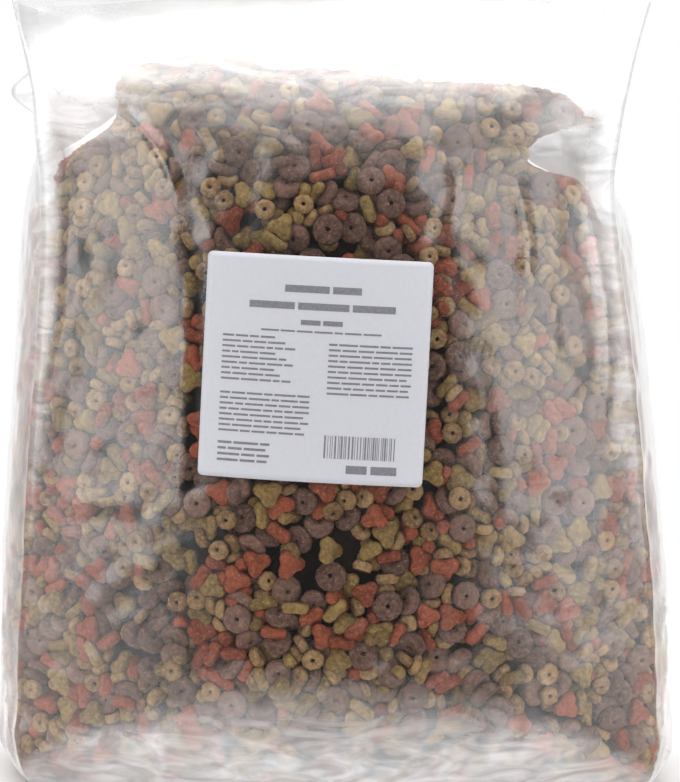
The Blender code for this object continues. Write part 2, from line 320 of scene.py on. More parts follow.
def film_haze_and_painted_reflection(grid, side, across):
    """How milky the film is, partly its own haze and partly painted reflection: where it is
    crumpled under the base (painted reflection of the white floor), stretched over the pleated
    gussets and beside their creases (painted reflection of the side lights), and slack towards the
    mouth. Much of it is painted reflection of a studio's soft lights, so it isn't all a property of
    the film."""
    x, z = grid[..., 0], grid[..., 2]
    rise = 0.28 + 0.72 * np.where(side % 2 == 1, 0.0, arch(across, 2.4))
    # Whiter where the film turns under the base: painted reflection of the white floor.
    under = np.interp(z / rise, [0.0, 0.008, 0.030, 0.056, 0.076], [0.60, 0.56, 0.36, 0.13, 0.0])
    # Whiter over the slack film near the mouth: its own haze, with painted reflection.
    slack = np.interp(z, [0.318, 0.338, 0.352, 0.362, 0.374, 0.388],
                      [0.0, 0.04, 0.13, 0.25, 0.28, 0.12])
    shoulder = np.interp(z, [0.315, 0.335, 0.355], [0, 1, 0.3])
    slack += 0.22 * np.clip((np.abs(x) - 0.080) / 0.05, 0, 1) * shoulder
    # Whiter over the gussets and beside their creases: painted reflection of the side lights, with
    # the pleated film's own haze.
    pleat = np.interp(z, [0.09, 0.13, 0.234, 0.30, 0.325], [0.0, 0.10, 0.28, 0.38, 0.48])
    to_crease = np.minimum(across, 1 - across) * np.where(side % 2 == 1, 0.0, 0.33)
    pleat = pleat * np.exp(-(to_crease[None] / np.where(x > 0, 0.018, 0.010)) ** 2)
    return np.maximum(np.maximum(under, slack), pleat)


# ---------------------------------------------------------------- mesh helpers

def mesh_object(name, points, loops, sizes, finish, smooth=True):
    """A mesh from arrays: points, the corners of its faces in turn, and each face's size."""
    mesh = bpy.data.meshes.new(name)
    mesh.vertices.add(len(points))
    mesh.vertices.foreach_set("co", np.asarray(points, dtype=np.float32).ravel())
    mesh.loops.add(len(loops))
    mesh.loops.foreach_set("vertex_index", np.asarray(loops, dtype=np.int32))
    mesh.polygons.add(len(sizes))
    starts = np.concatenate([[0], np.cumsum(sizes)[:-1]])
    mesh.polygons.foreach_set("loop_start", starts.astype(np.int32))
    mesh.update(calc_edges=True)
    mesh.validate()
    if smooth:
        mesh.shade_smooth()
    mesh.materials.append(finish)
    made = bpy.data.objects.new(name, mesh)
    bpy.context.scene.collection.objects.link(made)
    return made


def quad_object(name, points, quads, finish, smooth=True):
    return mesh_object(name, points, quads.ravel(), np.full(len(quads), 4), finish, smooth)


# ---------------------------------------------------------------- materials

def new_material(name):
    made = bpy.data.materials.new(name)
    made.use_nodes = True
    nodes = made.node_tree.nodes
    shader = nodes["Principled BSDF"]
    return made, nodes, made.node_tree.links, shader


def food_material(name, dark, light, speck):
    """Dry extruded food: grainy, speckled, each piece a little darker or lighter."""
    made, nodes, links, shader = new_material(name)
    place = nodes.new("ShaderNodeTexCoord")
    tint = nodes.new("ShaderNodeAttribute")
    tint.attribute_name = "tint"
    grain = nodes.new("ShaderNodeTexNoise")
    grain.inputs["Scale"].default_value = 900
    grain.inputs["Detail"].default_value = 4
    links.new(place.outputs["Object"], grain.inputs["Vector"])
    patch = nodes.new("ShaderNodeTexNoise")
    patch.inputs["Scale"].default_value = 430
    patch.inputs["Detail"].default_value = 3
    links.new(place.outputs["Object"], patch.inputs["Vector"])
    shade = nodes.new("ShaderNodeMix")
    shade.data_type = "RGBA"
    shade.inputs["A"].default_value = (*dark, 1)
    shade.inputs["B"].default_value = (*light, 1)
    blend = nodes.new("ShaderNodeMath")
    blend.operation = "MULTIPLY_ADD"
    links.new(patch.outputs["Fac"], blend.inputs[0])
    blend.inputs[1].default_value = 1.7
    links.new(tint.outputs["Fac"], blend.inputs[2])
    lower = nodes.new("ShaderNodeMath")
    lower.operation = "SUBTRACT"
    lower.use_clamp = True
    links.new(blend.outputs[0], lower.inputs[0])
    lower.inputs[1].default_value = 0.80
    links.new(lower.outputs[0], shade.inputs["Factor"])
    specks = nodes.new("ShaderNodeMapRange")
    specks.inputs["From Min"].default_value = 0.56
    specks.inputs["From Max"].default_value = 0.70
    links.new(grain.outputs["Fac"], specks.inputs["Value"])
    spotted = nodes.new("ShaderNodeMix")
    spotted.data_type = "RGBA"
    spotted.inputs["B"].default_value = (*speck, 1)
    links.new(shade.outputs["Result"], spotted.inputs["A"])
    strength = nodes.new("ShaderNodeMath")
    strength.operation = "MULTIPLY"
    strength.inputs[1].default_value = 0.45
    links.new(specks.outputs["Result"], strength.inputs[0])
    links.new(strength.outputs[0], spotted.inputs["Factor"])
    links.new(spotted.outputs["Result"], shader.inputs["Base Color"])
    bump = nodes.new("ShaderNodeBump")
    bump.inputs["Strength"].default_value = 0.8
    bump.inputs["Distance"].default_value = 0.0008
    links.new(grain.outputs["Fac"], bump.inputs["Height"])
    links.new(bump.outputs["Normal"], shader.inputs["Normal"])
    shader.inputs["Roughness"].default_value = 0.78
    shader.inputs["Specular IOR Level"].default_value = 0.3
    return made


def core_material():
    """The food further in, seen only through gaps: near black in uneven brown patches, a painted
    shade that stands in for the shadowed food deeper in.
    """
    made, nodes, links, shader = new_material("food_in_shade")
    place = nodes.new("ShaderNodeTexCoord")
    cells = nodes.new("ShaderNodeTexVoronoi")
    cells.inputs["Scale"].default_value = 95
    links.new(place.outputs["Object"], cells.inputs["Vector"])
    ramp = nodes.new("ShaderNodeValToRGB")
    # Near-black browns, far darker than the pieces: painted shade.
    stops = ramp.color_ramp.elements
    stops[0].color = (0.010, 0.005, 0.003, 1)
    stops[1].color = (0.030, 0.016, 0.008, 1)
    split = nodes.new("ShaderNodeSeparateColor")
    links.new(cells.outputs["Color"], split.inputs[0])
    links.new(split.outputs[0], ramp.inputs["Fac"])
    links.new(ramp.outputs["Color"], shader.inputs["Base Color"])
    bump = nodes.new("ShaderNodeBump")
    bump.inputs["Distance"].default_value = 0.004
    bump.invert = True
    links.new(cells.outputs["Distance"], bump.inputs["Height"])
    links.new(bump.outputs["Normal"], shader.inputs["Normal"])
    shader.inputs["Roughness"].default_value = 0.9
    shader.inputs["Specular IOR Level"].default_value = 0.1
    return made


def film_material():
    """Clear film: lets most light through, mirrors softly, with faint haze and streaks. The haze
    attribute is partly painted reflection, and it makes the film more opaque and white there.
    """
    made, nodes, links, shader = new_material("clear_film")
    place = nodes.new("ShaderNodeTexCoord")
    ripple = nodes.new("ShaderNodeTexNoise")
    ripple.inputs["Scale"].default_value = 70
    ripple.inputs["Detail"].default_value = 3
    links.new(place.outputs["Object"], ripple.inputs["Vector"])
    bump = nodes.new("ShaderNodeBump")
    bump.inputs["Strength"].default_value = 0.35
    bump.inputs["Distance"].default_value = 0.0015
    links.new(ripple.outputs["Fac"], bump.inputs["Height"])
    links.new(bump.outputs["Normal"], shader.inputs["Normal"])
    facing = nodes.new("ShaderNodeFresnel")
    facing.inputs["IOR"].default_value = 1.50
    links.new(bump.outputs["Normal"], facing.inputs["Normal"])
    both = nodes.new("ShaderNodeMath")
    both.operation = "MULTIPLY_ADD"
    both.use_clamp = True
    both.inputs[1].default_value = GLOSS_GAIN
    both.inputs[2].default_value = 0.01
    links.new(facing.outputs[0], both.inputs[0])
    most = nodes.new("ShaderNodeMath")
    most.operation = "MINIMUM"
    most.inputs[1].default_value = GLOSS_MOST
    links.new(both.outputs[0], most.inputs[0])
    # Haze and painted reflection, from the film's mesh.
    haze_and_painted_reflection = nodes.new("ShaderNodeAttribute")
    haze_and_painted_reflection.attribute_name = "haze_and_painted_reflection"
    drawn = nodes.new("ShaderNodeMapping")
    drawn.inputs["Scale"].default_value = (0.45, 0.45, 1.5)
    links.new(place.outputs["Object"], drawn.inputs["Vector"])
    crumple = nodes.new("ShaderNodeTexNoise")
    crumple.inputs["Scale"].default_value = 60
    crumple.inputs["Detail"].default_value = 5
    crumple.inputs["Distortion"].default_value = 1.8
    links.new(drawn.outputs["Vector"], crumple.inputs["Vector"])
    uneven = nodes.new("ShaderNodeMapRange")
    uneven.inputs["From Min"].default_value = 0.36
    uneven.inputs["From Max"].default_value = 0.64
    uneven.inputs["To Min"].default_value = 1.0
    uneven.inputs["To Max"].default_value = 1.65
    links.new(crumple.outputs["Fac"], uneven.inputs["Value"])
    # Streaked haze and painted reflection: where it is strong the film turns opaque and white.
    creased_haze_and_painted_reflection = nodes.new("ShaderNodeMath")
    creased_haze_and_painted_reflection.operation = "MULTIPLY"
    creased_haze_and_painted_reflection.use_clamp = True
    links.new(haze_and_painted_reflection.outputs["Fac"], creased_haze_and_painted_reflection.inputs[0])
    links.new(uneven.outputs[0], creased_haze_and_painted_reflection.inputs[1])
    either = nodes.new("ShaderNodeMath")
    either.operation = "MAXIMUM"
    links.new(most.outputs[0], either.inputs[0])
    links.new(creased_haze_and_painted_reflection.outputs[0], either.inputs[1])
    metal = nodes.new("ShaderNodeMapRange")
    metal.inputs["To Min"].default_value = 1.0
    metal.inputs["To Max"].default_value = 0.45
    metal.inputs["From Max"].default_value = 0.3
    links.new(haze_and_painted_reflection.outputs["Fac"], metal.inputs["Value"])
    links.new(metal.outputs["Result"], shader.inputs["Metallic"])
    rough = nodes.new("ShaderNodeMapRange")
    rough.inputs["From Max"].default_value = 0.3
    rough.inputs["To Min"].default_value = 0.22
    rough.inputs["To Max"].default_value = 0.42
    links.new(haze_and_painted_reflection.outputs["Fac"], rough.inputs["Value"])
    links.new(rough.outputs["Result"], shader.inputs["Roughness"])
    # Greyer where the haze is strong: partly the milky film's tint, partly painted shade that makes
    # the folded pockets read grey.
    milk_and_painted_shade = nodes.new("ShaderNodeMix")
    milk_and_painted_shade.data_type = "RGBA"
    milk_and_painted_shade.inputs["A"].default_value = (1.0, 1.0, 1.0, 1)
    milk_and_painted_shade.inputs["B"].default_value = (0.84, 0.85, 0.87, 1)
    whiter = nodes.new("ShaderNodeMapRange")
    whiter.inputs["From Min"].default_value = 0.10
    whiter.inputs["From Max"].default_value = 0.60
    links.new(haze_and_painted_reflection.outputs["Fac"], whiter.inputs["Value"])
    links.new(whiter.outputs["Result"], milk_and_painted_shade.inputs["Factor"])
    links.new(milk_and_painted_shade.outputs["Result"], shader.inputs["Base Color"])
    path = nodes.new("ShaderNodeLightPath")
    direct = nodes.new("ShaderNodeMath")
    direct.operation = "SUBTRACT"
    direct.inputs[0].default_value = 1.0
    links.new(path.outputs["Is Diffuse Ray"], direct.inputs[1])
    seen = nodes.new("ShaderNodeMath")
    seen.operation = "MULTIPLY"
    links.new(either.outputs[0], seen.inputs[0])
    links.new(direct.outputs[0], seen.inputs[1])
    clear = nodes.new("ShaderNodeBsdfTransparent")
    clear.inputs["Color"].default_value = (0.985, 0.985, 0.985, 1)
    mix = nodes.new("ShaderNodeMixShader")
    links.new(seen.outputs[0], mix.inputs[0])
    links.new(clear.outputs[0], mix.inputs[1])
    links.new(shader.outputs[0], mix.inputs[2])
    links.new(mix.outputs[0], nodes["Material Output"].inputs["Surface"])
    return made


def paper_material():
    made, nodes, links, shader = new_material("label_paper")
    place = nodes.new("ShaderNodeTexCoord")
    fibre = nodes.new("ShaderNodeTexNoise")
    fibre.inputs["Scale"].default_value = 500
    fibre.inputs["Detail"].default_value = 5
    links.new(place.outputs["Object"], fibre.inputs["Vector"])
    ramp = nodes.new("ShaderNodeValToRGB")
    ramp.color_ramp.elements[0].color = (0.485, 0.485, 0.525, 1)
    ramp.color_ramp.elements[1].color = (0.54, 0.54, 0.582, 1)
    links.new(fibre.outputs["Fac"], ramp.inputs["Fac"])
    links.new(ramp.outputs["Color"], shader.inputs["Base Color"])
    bump = nodes.new("ShaderNodeBump")
    bump.inputs["Strength"].default_value = 0.15
    bump.inputs["Distance"].default_value = 0.0002
    links.new(fibre.outputs["Fac"], bump.inputs["Height"])
    links.new(bump.outputs["Normal"], shader.inputs["Normal"])
    shader.inputs["Roughness"].default_value = 0.5
    return made


def ink_material():
    made, nodes, links, shader = new_material("grey_print")
    place = nodes.new("ShaderNodeTexCoord")
    fade = nodes.new("ShaderNodeTexNoise")
    fade.inputs["Scale"].default_value = 900
    links.new(place.outputs["Object"], fade.inputs["Vector"])
    ramp = nodes.new("ShaderNodeValToRGB")
    ramp.color_ramp.elements[0].color = (0.10, 0.10, 0.11, 1)
    ramp.color_ramp.elements[1].color = (0.24, 0.24, 0.26, 1)
    links.new(fade.outputs["Fac"], ramp.inputs["Fac"])
    links.new(ramp.outputs["Color"], shader.inputs["Base Color"])
    shader.inputs["Roughness"].default_value = 0.6
    return made


# ---------------------------------------------------------------- distances in space

class DistanceField:
    """Signed distance to a closed-looking surface, sampled on a grid of cells."""

    def __init__(self, points, faces, low, high, cell):
        self.low = np.array(low)
        self.cell = cell
        self.shape = np.ceil((np.array(high) - self.low) / cell).astype(int) + 1
        tree = BVHTree.FromPolygons([tuple(p) for p in points], [tuple(f) for f in faces])
        axes = [self.low[i] + np.arange(self.shape[i]) * cell for i in range(3)]
        values = np.empty(self.shape)
        for i, x in enumerate(axes[0]):
            for j, y in enumerate(axes[1]):
                for k, z in enumerate(axes[2]):
                    spot = Vector((x, y, z))
                    near, normal, _, distance = tree.find_nearest(spot)
                    values[i, j, k] = math.copysign(distance, (spot - near).dot(normal))
        self.values = values
        self.slopes = np.stack(np.gradient(values, cell), -1)

    def _corners(self, points):
        spot = (points - self.low) / self.cell
        base = np.clip(spot.astype(int), 0, self.shape - 2)
        return base, np.clip(spot - base, 0, 1)

    def read(self, points):
        base, part = self._corners(points)
        value = np.zeros(len(points))
        slope = np.zeros((len(points), 3))
        for di in (0, 1):
            for dj in (0, 1):
                for dk in (0, 1):
                    weight = (np.abs(1 - di - part[:, 0]) * np.abs(1 - dj - part[:, 1])
                              * np.abs(1 - dk - part[:, 2]))
                    at = (base[:, 0] + di, base[:, 1] + dj, base[:, 2] + dk)
                    value += weight * self.values[at]
                    slope += weight[:, None] * self.slopes[at]
        slope /= np.maximum(np.linalg.norm(slope, axis=1), 1e-6)[:, None]
        return value, slope


# ---------------------------------------------------------------- scene parts

def make_film():
    grid, side, across = film_grid(FRONT_STEPS, SIDE_STEPS, BACK_STEPS, ROW_PITCH,
                                   BASE_RINGS, ROUND_RINGS)
    # Haze, partly painted reflection of the studio's lights and floor.
    haze_and_painted_reflection = film_haze_and_painted_reflection(grid, side, across)
    grid = grid + grid_normals(grid) * film_folds(grid, side, across)[..., None]
    faces = grid_faces(*grid.shape[:2])
    made = quad_object("film_bag_clear", grid.reshape(-1, 3), faces, film_material())
    milky_and_painted_reflection = made.data.attributes.new("haze_and_painted_reflection", "FLOAT", "POINT")
    milky_and_painted_reflection.data.foreach_set("value", haze_and_painted_reflection.astype(np.float32).ravel())
    build = bmesh.new()
    build.from_mesh(made.data)
    bmesh.ops.remove_doubles(build, verts=build.verts, dist=0.00001)
    build.to_mesh(made.data)
    build.free()
    made.data.shade_smooth()
    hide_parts("film_bag")
    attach(made, "root")
    return made


def keep_out(points):
    """How deep points lie where no food does, and whether up (1) or down (-1) is the way
    out: over the heap, and in the pockets between the panels and the folded gussets."""
    nearer = CAMERA_AWAY / (CAMERA_AWAY - np.abs(points[:, 1]))
    x = points[:, 0] * nearer
    z = CAMERA_Z + (points[:, 2] - CAMERA_Z) * nearer
    top = np.interp(points[:, 0], *HEAP_TOP)
    lip = np.interp(x, *LEFT_LIP)
    over = np.maximum(points[:, 2] - top, z - lip)
    upper = np.interp(x, *POCKET_UPPER)
    lower = np.interp(x, *POCKET_LOWER)
    pocket = np.minimum(np.minimum(z - lower, upper - z), x - POCKET_TIP)
    way = np.where((pocket > over) & (2 * z > lower + upper), 1.0, -1.0)
    return np.maximum(over, pocket), way


KINDS = ("brown_disc", "tan_ring", "red_clover", "green_clover")
SHARE = (0.24, 0.34, 0.21, 0.21)


def only_mesh():
    """Merges and lifts the mesh of the active object out of the scene."""
    made = bpy.context.active_object
    bpy.ops.object.transform_apply(location=True, rotation=True, scale=True)
    build = bmesh.new()
    build.from_mesh(made.data)
    bmesh.ops.remove_doubles(build, verts=build.verts, dist=0.00002)
    bmesh.ops.recalc_face_normals(build, faces=build.faces)
    build.verts.ensure_lookup_table()
    points = np.array([vert.co[:] for vert in build.verts])
    faces = [[vert.index for vert in face.verts] for face in build.faces]
    build.free()
    bpy.data.objects.remove(made, do_unlink=True)
    return points, np.concatenate(faces), np.array([len(face) for face in faces])


def ring_template(outer, hole, thick, around):
    """A flat-faced button with a small hole and rounded rims."""
    bpy.ops.mesh.primitive_torus_add(major_segments=around, minor_segments=5,
                                     major_radius=(outer + hole) / 2,
                                     minor_radius=(outer - hole) / 2)
    made = bpy.context.active_object
    for vert in made.data.vertices:
        radius = math.hypot(vert.co.x, vert.co.y)
        if abs(vert.co.z) < 1e-6:
            wanted = outer if radius > (outer + hole) / 2 else hole
        else:
            wanted = outer - RIM if radius > (outer + hole) / 2 else hole + 0.4 * RIM
            vert.co.z = math.copysign(thick / 2, vert.co.z)
        vert.co.x *= wanted / radius
        vert.co.y *= wanted / radius
    return only_mesh()


def clover_template(reach, waist, thick, around):
    """A thick slice of three round lobes, its sides a little barrelled."""
    bpy.ops.mesh.primitive_cylinder_add(vertices=around, radius=1.0, depth=thick,
                                        end_fill_type="NGON")
    made = bpy.context.active_object
    bpy.ops.object.mode_set(mode="EDIT")
    bpy.ops.mesh.select_all(action="SELECT")
    bpy.ops.mesh.bisect(plane_co=(0, 0, 0), plane_no=(0, 0, 1))
    bpy.ops.object.mode_set(mode="OBJECT")
    for vert in made.data.vertices:
        angle = math.atan2(vert.co.y, vert.co.x)
        lobe = (0.5 + 0.5 * math.cos(3 * angle)) ** 0.75
        radius = waist + (reach - waist) * lobe
        if abs(vert.co.z) > 1e-6:
            radius -= RIM
        vert.co.x = radius * math.cos(angle)
        vert.co.y = radius * math.sin(angle)
    return only_mesh()


def food_templates():
    """Mesh, the balls that stand for it while it settles, and its volume, for each kind."""
    def balls(count, at, radius, middle=False):
        angles = np.arange(count) * math.tau / count
        spots = np.stack([np.cos(angles) * at, np.sin(angles) * at, np.zeros(count)], -1)
        if middle:
            spots = np.vstack([spots, np.zeros(3)])
        return spots, np.full(len(spots), radius)

    return [
        (ring_template(0.0077, 0.0008, 0.0050, 12), balls(6, 0.0052, 0.0025, True), 8.0e-7),
        (ring_template(0.0055, 0.0008, 0.0044, 9), balls(5, 0.0031, 0.0022), 3.1e-7),
        (clover_template(0.0078, 0.0045, 0.0050, 18), balls(3, 0.0048, 0.0027, True), 5.3e-7),
        (clover_template(0.0076, 0.0046, 0.0048, 18), balls(3, 0.0046, 0.0026, True), 4.9e-7),
    ]


def near_pairs(points, owner, reach):
    """All pairs of balls of different pieces that lie within reach of each other."""
    cell = np.floor(points / reach).astype(np.int64)
    cell -= cell.min(0)
    size = cell.max(0) + 3
    key = (cell[:, 0] * size[1] + cell[:, 1]) * size[2] + cell[:, 2]
    order = np.argsort(key, kind="stable")
    sorted_key = key[order]
    found = []
    for dx in (-1, 0, 1):
        for dy in (-1, 0, 1):
            for dz in (-1, 0, 1):
                shift = (dx * size[1] + dy) * size[2] + dz
                if shift < 0:
                    continue
                low = np.searchsorted(sorted_key, key + shift, "left")
                high = np.searchsorted(sorted_key, key + shift, "right")
                count = high - low
                first = np.repeat(np.arange(len(key)), count)
                offset = np.arange(count.sum()) - np.repeat(np.cumsum(count) - count, count)
                second = order[np.repeat(low, count) + offset]
                keep = owner[first] != owner[second]
                if shift == 0:
                    keep &= first < second
                first, second = first[keep], second[keep]
                gap = np.linalg.norm(points[first] - points[second], axis=1)
                close = gap < reach
                found.append(np.stack([first[close], second[close]], -1))
    return np.concatenate(found)


def turn_of(spread):
    """The rotations nearest to a stack of 3 x 3 matrices."""
    left, _, right = np.linalg.svd(spread)
    flip = np.sign(np.linalg.det(left @ right))
    left[:, :, 2] *= flip[:, None]
    return left @ right


def settle_food(templates, film_field, core_field):
    """Fills the space between core and film with pieces that press outwards and rest on
    each other. Returns each piece's kind, centre and turn."""
    draw = np.random.default_rng(SEED)
    low = np.array([-0.18, -0.13, 0.0])
    high = np.array([0.18, 0.13, 0.375])

    def free_space(points):
        outside, _ = film_field.read(points)
        inside, _ = core_field.read(points)
        return (outside < -0.0045) & (inside > 0.0) & (keep_out(points)[0] < -0.002)

    tries = draw.uniform(low, high, (400000, 3))
    room = tries[free_space(tries)]
    volume = len(room) / len(tries) * np.prod(high - low)
    mean = sum(share * item[2] for share, item in zip(SHARE, templates))
    spacing = (mean / PACKING) ** (1 / 3)
    room = draw.permutation(room)
    cells = np.floor(room / spacing).astype(int)
    _, chosen = np.unique(cells, axis=0, return_index=True)
    count = min(len(chosen), int(volume * PACKING / mean))
    centres = room[draw.permutation(chosen)[:count]]
    kinds = draw.choice(len(KINDS), count, p=SHARE)
    turns = turn_of(draw.normal(size=(count, 3, 3)))
    rest = [templates[kind][1][0] for kind in kinds]
    sizes = np.array([len(item) for item in rest])
    owner = np.repeat(np.arange(count), sizes)
    rest = np.concatenate(rest)
    radius = np.concatenate([templates[kind][1][1] for kind in kinds])
    first = np.concatenate([[0], np.cumsum(sizes)[:-1]])
    middle = np.add.reduceat(rest, first) / sizes[:, None]
    offsets = rest - middle[owner]
    balls = centres[owner] + np.einsum("nij,nj->ni", turns[owner], rest)
    for step in range(RELAX_ROUNDS):
        if step % 5 == 0:
            pairs = near_pairs(balls, owner, 0.0064)
        _, out = film_field.read(balls)
        push = PUSH * max(0.0, 1 - step / (RELAX_ROUNDS * 0.6))
        balls += out * push
        balls[:, 2] -= push * 0.4
        for _ in range(2):
            apart = balls[pairs[:, 0]] - balls[pairs[:, 1]]
            gap = np.linalg.norm(apart, axis=1)
            deep = radius[pairs[:, 0]] + radius[pairs[:, 1]] - gap
            hit = deep > 0
            a, b = pairs[hit, 0], pairs[hit, 1]
            shove = apart[hit] / np.maximum(gap[hit], 1e-6)[:, None] * (deep[hit] * 0.5)[:, None]
            total = np.zeros_like(balls)
            for axis in range(3):
                total[:, axis] = (np.bincount(a, shove[:, axis], len(balls))
                                  - np.bincount(b, shove[:, axis], len(balls)))
            touched = np.bincount(a, minlength=len(balls)) + np.bincount(b, minlength=len(balls))
            balls += total / np.maximum(touched, 1)[:, None] * 1.3
            over, way = keep_out(balls)
            balls[:, 2] += way * np.clip(over + radius, 0, 0.002)
            inside, inward = core_field.read(balls)
            balls += inward * np.clip(radius * 0.5 - inside, 0, 0.002)[:, None]
            outside, out = film_field.read(balls)
            balls -= out * np.maximum(outside + radius + FILM_CLEAR, 0)[:, None]
            middle = np.add.reduceat(balls, first) / sizes[:, None]
            spread = np.einsum("ni,nj->nij", balls - middle[owner], offsets)
            spread = np.add.reduceat(spread, first)
            spread += 1e-9 * turns
            turns = turn_of(spread)
            balls = middle[owner] + np.einsum("nij,nj->ni", turns[owner], offsets)
    still = np.add.reduceat(balls, first) / sizes[:, None]
    shift = np.add.reduceat(rest, first) / sizes[:, None]
    centres = still - np.einsum("nij,nj->ni", turns, shift)
    return kinds, centres, turns


def make_core():
    """The food behind the single pieces: a lumpy mass in place of the bulk, coloured dark as
    painted shade.
    """
    source = frame_object("kibble_fill")
    made = source.copy()
    made.data = source.data.copy()
    made.name = "food_core"
    made.animation_data_clear()
    made.parent = None
    made.hide_render = False
    bpy.context.scene.collection.objects.link(made)
    build = bmesh.new()
    build.from_mesh(made.data)
    bmesh.ops.remove_doubles(build, verts=build.verts, dist=0.00001)
    bmesh.ops.recalc_face_normals(build, faces=build.faces)
    build.normal_update()
    build.to_mesh(made.data)
    build.free()
    bpy.ops.object.select_all(action="DESELECT")
    made.select_set(True)
    bpy.context.view_layer.objects.active = made
    remesh = made.modifiers.new("even", "REMESH")
    remesh.mode = "VOXEL"
    remesh.voxel_size = 0.006
    bpy.ops.object.modifier_apply(modifier="even")
    points = np.array([vert.co[:] for vert in made.data.vertices])
    normals = np.array([vert.normal[:] for vert in made.data.vertices])
    points -= normals * CORE_DEPTH
    for index, vert in enumerate(made.data.vertices):
        vert.co = points[index]
    smooth = made.modifiers.new("smooth", "SMOOTH")
    smooth.factor = 0.5
    smooth.iterations = 18
    bpy.ops.object.modifier_apply(modifier="smooth")
    made.data.materials.clear()
    made.data.materials.append(core_material())
    made.data.shade_smooth()
    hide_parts("kibble_fill")
    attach(made, "root")
    return made


def frame_object(name):
    for item in bpy.context.scene.objects:
        if item.name == name and item.type == "MESH":
            return item
    raise ValueError(name)


def make_food():
    core = make_core()
    grid, *_ = film_grid(48, 28, 44, 0.006, 4, 8)
    low, high = (-0.20, -0.14, -0.012), (0.20, 0.14, 0.42)
    film_field = DistanceField(grid.reshape(-1, 3), grid_faces(*grid.shape[:2]), low, high, 0.005)
    core_points = [vert.co[:] for vert in core.data.vertices]
    core_faces = [tuple(face.vertices) for face in core.data.polygons]
    core_field = DistanceField(core_points, core_faces, low, high, 0.005)
    templates = food_templates()
    kinds, centres, turns = settle_food(templates, film_field, core_field)
    draw = np.random.default_rng(SEED + 1)
    finishes = [
        food_material("brown_food", (0.085, 0.040, 0.026), (0.260, 0.142, 0.102),
                      (0.40, 0.27, 0.21)),
        food_material("tan_food", (0.150, 0.078, 0.030), (0.430, 0.265, 0.115), (0.56, 0.41, 0.22)),
        food_material("red_food", (0.160, 0.032, 0.012), (0.400, 0.098, 0.042), (0.56, 0.26, 0.15)),
        food_material("green_food", (0.130, 0.076, 0.020), (0.385, 0.245, 0.080),
                      (0.52, 0.38, 0.18)),
    ]
    for kind, name in enumerate(KINDS):
        points, loops, sizes = templates[kind][0]
        chosen = np.flatnonzero(kinds == kind)
        grow = draw.uniform(0.93, 1.05, (len(chosen), 1, 1))
        squash = draw.uniform(0.94, 1.06, (len(chosen), 1, 3))
        shaped = points[None] * squash * grow
        placed = np.einsum("nij,nkj->nki", turns[chosen], shaped) + centres[chosen][:, None]
        base = np.arange(len(chosen))[:, None] * len(points)
        made = mesh_object(name + "_pieces", placed.reshape(-1, 3), (base + loops[None]).ravel(),
                           np.tile(sizes, len(chosen)), finishes[kind])
        tint = made.data.attributes.new("tint", "FLOAT", "POINT")
        values = np.repeat(draw.uniform(0, 0.55, len(chosen)), len(points))
        tint.data.foreach_set("value", values.astype(np.float32))
        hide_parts(*[f"{name}_{number}" for number in range(1, 9)])
        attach(made, "root")


def front_place(x, z):
    """Depth of the film's outer face on the front panel."""
    low = np.zeros_like(x)
    high = np.full_like(x, LAST_ROW)
    for _ in range(30):
        place = (low + high) / 2
        left, right, shape = (read_rows(rows, place) for rows in (LEFT, RIGHT, PANEL))
        across = (x - left[..., 0]) / (right[..., 0] - left[..., 0])
        height = (left[..., 1] * (1 - across) + right[..., 1] * across
                  + shape[..., 1] * arch(across, 2.0))
        low = np.where(height < z, place, low)
        high = np.where(height < z, high, place)
    return (left[..., 2] * (1 - across) + right[..., 2] * across
            + shape[..., 0] * arch(across, 2.2))


def on_label(flat, proud):
    """Lays points of the flat label on the film."""
    c, s = math.cos(LABEL_TURN), math.sin(LABEL_TURN)
    x = LABEL_X + flat[:, 0] * c - flat[:, 1] * s
    z = LABEL_Z + flat[:, 0] * s + flat[:, 1] * c
    return np.stack([x, -front_place(x, z) - proud, z], -1)


def make_label():
    half = LABEL_SIZE / 2
    bpy.ops.mesh.primitive_grid_add(x_subdivisions=40, y_subdivisions=40, size=LABEL_SIZE)
    made = bpy.context.active_object
    made.name = "paper_label"
    made.data.name = "paper_label"
    build = bmesh.new()
    build.from_mesh(made.data)
    corners = [vert for vert in build.verts if abs(abs(vert.co.x) - half) < 1e-6
               and abs(abs(vert.co.y) - half) < 1e-6]
    bmesh.ops.bevel(build, geom=corners, offset=LABEL_CORNER, segments=5, profile=0.5,
                    affect="VERTICES")
    build.to_mesh(made.data)
    build.free()
    flat = np.array([vert.co[:] for vert in made.data.vertices])
    laid = on_label(flat, LABEL_PROUD)
    for vert, spot in zip(made.data.vertices, laid):
        vert.co = spot
    if sum(face.normal.y for face in made.data.polygons) > 0:
        made.data.flip_normals()
    paper = made.modifiers.new("paper", "SOLIDIFY")
    paper.thickness = 0.00015
    paper.offset = 1.0
    bpy.ops.object.modifier_apply(modifier="paper")
    made.data.shade_smooth()
    made.data.materials.append(paper_material())
    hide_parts("label")
    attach(made, "root")


